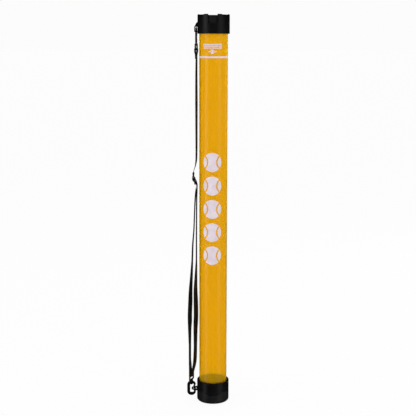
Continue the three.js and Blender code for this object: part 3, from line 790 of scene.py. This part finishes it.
strapSet = {
    "width": 20 * mm,
    "thick": 1.4 * mm,
    "edgeRound": 0.55 * mm,
    "step": 1.6 * mm,  # length of one row of faces
    "sharpAngle": 60,
    "eyeWrap": 2.8 * mm,  # centre of the eye bar to the middle of the webbing
    "eyeClear": 1.0 * mm,
    "bar": 3.5 * mm,  # thickness of the eye bars
    "upperLegs": 4 * mm,
    "lowerLegs": 6 * mm,
    "upperYaw": 10,  # degrees that the webbing turns at each eye
    "lowerYaw": 22,
    "sewn": 18 * mm,  # two layers sewn together below the upper eye
    "layer": 0.78 * mm,  # half the distance between them
    "foldOut": 1.3 * mm,  # the fold closes between these heights below the loop
    "foldTop": 6 * mm,
    "foldLow": 10 * mm,
    "sliderTilt": 11.3,
}

# each run as (mm off the tube, height in mm, turn in degrees, mm sideways)
upperRunPoints = [
    (7.5, 869.2, 12, 0), (7.4, 797.2, 15, 0), (7.4, 732.3, 12.5, 0), (7.4, 671.8, 10.5, 0),
    (8.1, 648.7, 9, 0), (10.6, 634.3, 4, 0),
]
outerRunPoints = [
    (9.5, 567, 6, 0), (11.1, 545, 6, 0), (12.9, 505, 5, 0), (14.4, 466, 6, 0), (17.4, 426, 8, 0),
    (18.8, 385, 9, 0), (20.8, 345, 17, 0), (23.2, 304, 26, 0), (24.1, 270, 32, 0), (25.4, 235, 32, 0),
    (25.3, 216, 31, 0), (25.7, 194, 22.5, 0), (25.4, 152, 14.5, 0), (25.4, 110, 14, 0), (24.6, 92, 18, 0.6),
]
innerRunPoints = [
    (6.4, 567, 6, 0), (7, 545, 6, 0), (7.4, 493, 5.5, 0), (7.7, 430, 6, 0), (7.8, 385, 7, 0),
    (9, 345, 17, 0), (10.2, 304, 27.5, 0), (9.5, 270, 33, 0), (9, 235, 34, 0), (9.6, 216, 35, 0),
    (10.3, 194, 30, 0), (10.6, 152, 24, 0), (11.2, 127, 25, 0), (12.4, 105, 26, 0), (14.8, 90, 24, -0.6),
]
# through the slider, in mm along it and out from it
threadedPoints = [
    (19, -2.7), (15.5, -2.6), (12, -2.5), (9.6, -1.7), (7.3, 0.7), (5, 3.2), (2.5, 4.2), (0, 4.3),
    (-2.5, 4.2), (-5, 3.2), (-7.3, 0.7), (-9.6, -1.7), (-12, -2.5), (-15.5, -2.6), (-19, -2.7),
]
sliderLoopPoints = [
    (-19, -4.9), (-14, -4.8), (-9, -4.5), (-5, -3.4), (-2, -2.6), (1.2, -2.4), (2.9, -1), (2.9, 1),
    (1.2, 2.4), (-1.6, 2.4), (-3.6, 1), (-5, -0.5),
]


def offTube(points):
    return [(-tubeRadius - off * mm, side * mm, z * mm, turn) for off, z, turn, side in points]


def onSlider(points):
    low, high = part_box("strap_slider")
    centre = (low + high) / 2
    tilt = math.radians(strapSet["sliderTilt"])
    return [(
        centre.x - (math.sin(tilt) * along + math.cos(tilt) * out) * mm,
        centre.y,
        centre.z + (math.cos(tilt) * along - math.sin(tilt) * out) * mm,
        0,
    ) for along, out in points]


def eyeWrap(x, barInner, barOuter, away, yaw, legs):
    # up one side of the eye's bar, over it and down the other
    turn = math.radians(yaw)
    clear = strapSet["eyeClear"]
    end = barOuter + away * legs
    near = away * 0.4 * mm
    up = [
        (-1, end), (-1, (end + barOuter) / 2), (-1, barOuter - near), (-1, barInner + near),
        (-0.55, barInner - away * clear * 0.85),
    ]
    flat = up + [(0, barInner - away * clear * 1.15)] + [(-side, z) for side, z in reversed(up)]
    wrap = strapSet["eyeWrap"]
    return [(x + side * wrap * math.cos(turn), -side * wrap * math.sin(turn), z, yaw) for side, z in flat]


def splineStep(p0, p1, p2, p3, t):
    # centripetal curve between p1 and p2
    def knot(a, b):
        return max((b - a).length, 1e-9) ** 0.5
    d0, d1, d2 = knot(p0, p1), knot(p1, p2), knot(p2, p3)
    m1 = ((p1 - p0) / d0 - (p2 - p0) / (d0 + d1) + (p2 - p1) / d1) * d1
    m2 = ((p2 - p1) / d1 - (p3 - p1) / (d1 + d2) + (p3 - p2) / d2) * d1
    c2 = (p2 - p1) * 3 - m1 * 2 - m2
    c3 = (p1 - p2) * 2 + m1 + m2
    return p1 + m1 * t + c2 * (t * t) + c3 * (t * t * t)


def evenRoute(points, step):
    # [place, turn, distance along] at even steps on a smooth curve through the points
    places = [Vector(p[:3]) for p in points]
    padded = [places[0] * 2 - places[1]] + places + [places[-1] * 2 - places[-2]]
    parts = 24  # short chords between two points
    fine = []
    for i in range(len(places) - 1):
        for j in range(parts):
            t = j / parts
            turn = points[i][3] + (points[i + 1][3] - points[i][3]) * t
            fine.append((splineStep(*padded[i:i + 4], t), turn))
    fine.append((places[-1], points[-1][3]))
    travelled = [0.0]
    for (a, _), (b, _) in zip(fine, fine[1:]):
        travelled.append(travelled[-1] + (b - a).length)
    total = travelled[-1]
    count = max(8, round(total / step))
    route = []
    k = 0
    for i in range(count + 1):
        want = total * i / count
        while k < len(fine) - 2 and travelled[k + 1] < want:
            k += 1
        share = (want - travelled[k]) / max(travelled[k + 1] - travelled[k], 1e-12)
        place = fine[k][0].lerp(fine[k + 1][0], min(max(share, 0), 1))
        turn = fine[k][1] + (fine[k + 1][1] - fine[k][1]) * share
        route.append((place, turn, want))
    return route


def stripSection():
    # webbing cut across: flat faces and rounded selvedges, as (across, through)
    half = strapSet["width"] / 2
    deep = strapSet["thick"] / 2
    soft = strapSet["edgeRound"]
    points = []
    for cx, cy, start in ((half - soft, deep - soft, 0), (-half + soft, deep - soft, 90),
                          (-half + soft, -deep + soft, 180), (half - soft, -deep + soft, 270)):
        for i in range(4):
            angle = math.radians(start + 30 * i)
            points.append((cx + soft * math.cos(angle), cy + soft * math.sin(angle)))
        if start in (0, 180):
            side = 1 if start == 0 else -1
            points += [(side * half * 0.45, side * deep), (-side * half * 0.45, side * deep)]
    return points


def stripPiece(name, route, startOffset=0.0):
    section = stripSection()
    rows = []
    for i, (place, turn, _) in enumerate(route):
        before = route[max(i - 1, 0)][0]
        after = route[min(i + 1, len(route) - 1)][0]
        tangent = (after - before).normalized()
        angle = math.radians(turn)
        width = Vector((math.sin(angle), math.cos(angle), 0))
        width = (width - tangent * width.dot(tangent)).normalized()
        normal = tangent.cross(width)
        rows.append([place + width * a + normal * b for a, b in section])
    verts = [v for row in rows for v in row]
    faces = ringRows(rows, False)
    count = len(section)
    faces.append(tuple(reversed(range(count))))
    faces.append(tuple(range(len(verts) - count, len(verts))))
    piece = meshPiece(name, verts, faces, webbingBlack, strapSet["sharpAngle"])
    layer = piece.data.uv_layers.new(name="stripUv")
    for polygon in piece.data.polygons:
        for loop in polygon.loop_indices:
            vertex = piece.data.loops[loop].vertex_index
            row, column = divmod(vertex, count)
            layer.data[loop].uv = (startOffset + route[row][2], section[column][0])
    return piece, route[-1][2]


def makeStrap():
    upperLow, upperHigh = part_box("upper_swivel")
    lowerLow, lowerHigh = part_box("lower_swivel")
    upperX = (upperLow.x + upperHigh.x) / 2
    lowerX = (lowerLow.x + lowerHigh.x) / 2
    bar = strapSet["bar"]
    upperLegs, lowerLegs = strapSet["upperLegs"], strapSet["lowerLegs"]
    upperLoop = eyeWrap(upperX, upperLow.z + bar, upperLow.z, -1, strapSet["upperYaw"], upperLegs)
    lowerTurn = eyeWrap(lowerX, lowerHigh.z - bar, lowerHigh.z, 1, strapSet["lowerYaw"], lowerLegs)
    loopEnd = upperLoop[0][2]
    runTop = loopEnd - strapSet["sewn"]
    layer = strapSet["layer"]

    def sewnLeg(side):
        yaw = strapSet["upperYaw"]
        turn = math.radians(yaw)
        first = (strapSet["foldOut"], loopEnd - strapSet["foldTop"])
        flat = (first, (layer, loopEnd - strapSet["foldLow"]), (layer, runTop))
        return [
            (upperX + side * out * math.cos(turn), -side * out * math.sin(turn), z, yaw)
            for out, z in flat
        ]

    threaded = onSlider(threadedPoints)
    sliderLoop = onSlider(sliderLoopPoints)
    upperPath = sewnLeg(-1)[::-1] + upperLoop + sewnLeg(1) + offTube(upperRunPoints) + threaded
    lowerPath = [threaded[-1]] + offTube(outerRunPoints) + lowerTurn
    lowerPath += offTube(innerRunPoints)[::-1] + sliderLoop
    step = strapSet["step"]
    upper, upperLength = stripPiece("shoulderWebbing", evenRoute(upperPath, step))
    lower, lowerLength = stripPiece("doubledWebbing", evenRoute(lowerPath, step), upperLength)
    print("webbing lengths", round(upperLength, 3), round(lowerLength, 3))

    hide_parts("strap_upper_loop", "strap_upper_main", "strap_upper_tail", "strap_upper_run",
                "strap_threaded")
    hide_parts("strap_outer_run", "strap_lower_turn", "strap_inner_run", "strap_slider_loop")
    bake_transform(upper)
    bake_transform(lower)
    return upperX, runTop, loopEnd


sewnX, sewnLow, sewnHigh = makeStrap()
print("strap made")


stitchSet = {
    "length": 2.4 * mm,
    "gapLength": 0.9 * mm,
    "thread": 0.24 * mm,
    "sharpAngle": 50,
    "boxHalf": 7.4 * mm,
    "boxAbove": 1.4 * mm,  # from the lower end of the sewn layers
    "boxBelow": 9.5 * mm,  # from the loop
    "tackRows": [(-11.5, -5.25), (-9.5, -5.15), (-7.5, -4.9)],  # mm along the slider and out from it
}


def stitchLine(start, end, outward):
    # short threads lying on the webbing along a line, each dipping in at its ends
    along = end - start
    total = along.length
    along.normalize()
    side = outward.cross(along).normalized()
    pitch = stitchSet["length"] + stitchSet["gapLength"]
    count = max(1, int(total / pitch))
    r = stitchSet["thread"]
    verts = []
    faces = []
    for i in range(count):
        first = start + along * ((i + 0.5) * total / count - stitchSet["length"] / 2)
        base = len(verts)
        rings = ((0.0, -0.8, 0.6), (0.12, 0.1, 1.0), (0.5, 0.35, 1.0), (0.88, 0.1, 1.0), (1.0, -0.8, 0.6))
        for share, lift, fat in rings:
            centre = first + along * (share * stitchSet["length"]) + outward * (lift * r)
            for k in range(6):
                angle = math.pi * k / 3
                verts.append(centre + (side * math.cos(angle) + outward * math.sin(angle) * 0.8) * r * fat)
        for ring in range(len(rings) - 1):
            for k in range(6):
                a = base + ring * 6
                faces.append((a + k, a + (k + 1) % 6, a + 6 + (k + 1) % 6, a + 6 + k))
        faces.append(tuple(base + k for k in reversed(range(6))))
        faces.append(tuple(base + (len(rings) - 1) * 6 + k for k in range(6)))
    return verts, faces


def makeStitching():
    half = stitchSet["boxHalf"]
    heights = (sewnLow + stitchSet["boxAbove"], sewnHigh - stitchSet["boxBelow"])
    patches = []
    reach = strapSet["layer"] + strapSet["thick"] / 2
    turn = math.radians(strapSet["upperYaw"])
    across = Vector((math.sin(turn), math.cos(turn), 0))
    for side in (-1, 1):
        outward = Vector((math.cos(turn), -math.sin(turn), 0)) * side
        middle = Vector((sewnX, 0, 0)) + outward * reach
        corner = {(a, b): middle + across * (a * half) + Vector((0, 0, heights[b]))
                  for a in (-1, 1) for b in (0, 1)}
        lines = [
            ((-1, 0), (1, 0)), ((1, 0), (1, 1)), ((1, 1), (-1, 1)), ((-1, 1), (-1, 0)),
            ((-1, 0), (1, 1)), ((1, 0), (-1, 1)),
        ]
        patches += [stitchLine(corner[a], corner[b], outward) for a, b in lines]
    verts, faces = joinPatches(patches)
    sharpAngle = stitchSet["sharpAngle"]
    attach(meshPiece("sewnBoxThread", verts, faces, stitchThread, sharpAngle), "collector")

    # bar tack that closes the loop on the slider's middle bar
    tack = onSlider(stitchSet["tackRows"])
    tilt = math.radians(strapSet["sliderTilt"])
    outward = Vector((math.cos(tilt), 0, math.sin(tilt)))
    patches = []
    for x, y, z, _ in tack:
        place = Vector((x, y, z))
        patches.append(stitchLine(place - Vector((0, half, 0)), place + Vector((0, half, 0)), outward))
    verts, faces = joinPatches(patches)
    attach(meshPiece("sliderTackThread", verts, faces, stitchThread, sharpAngle), "slider")


makeStitching()
print("stitching made")
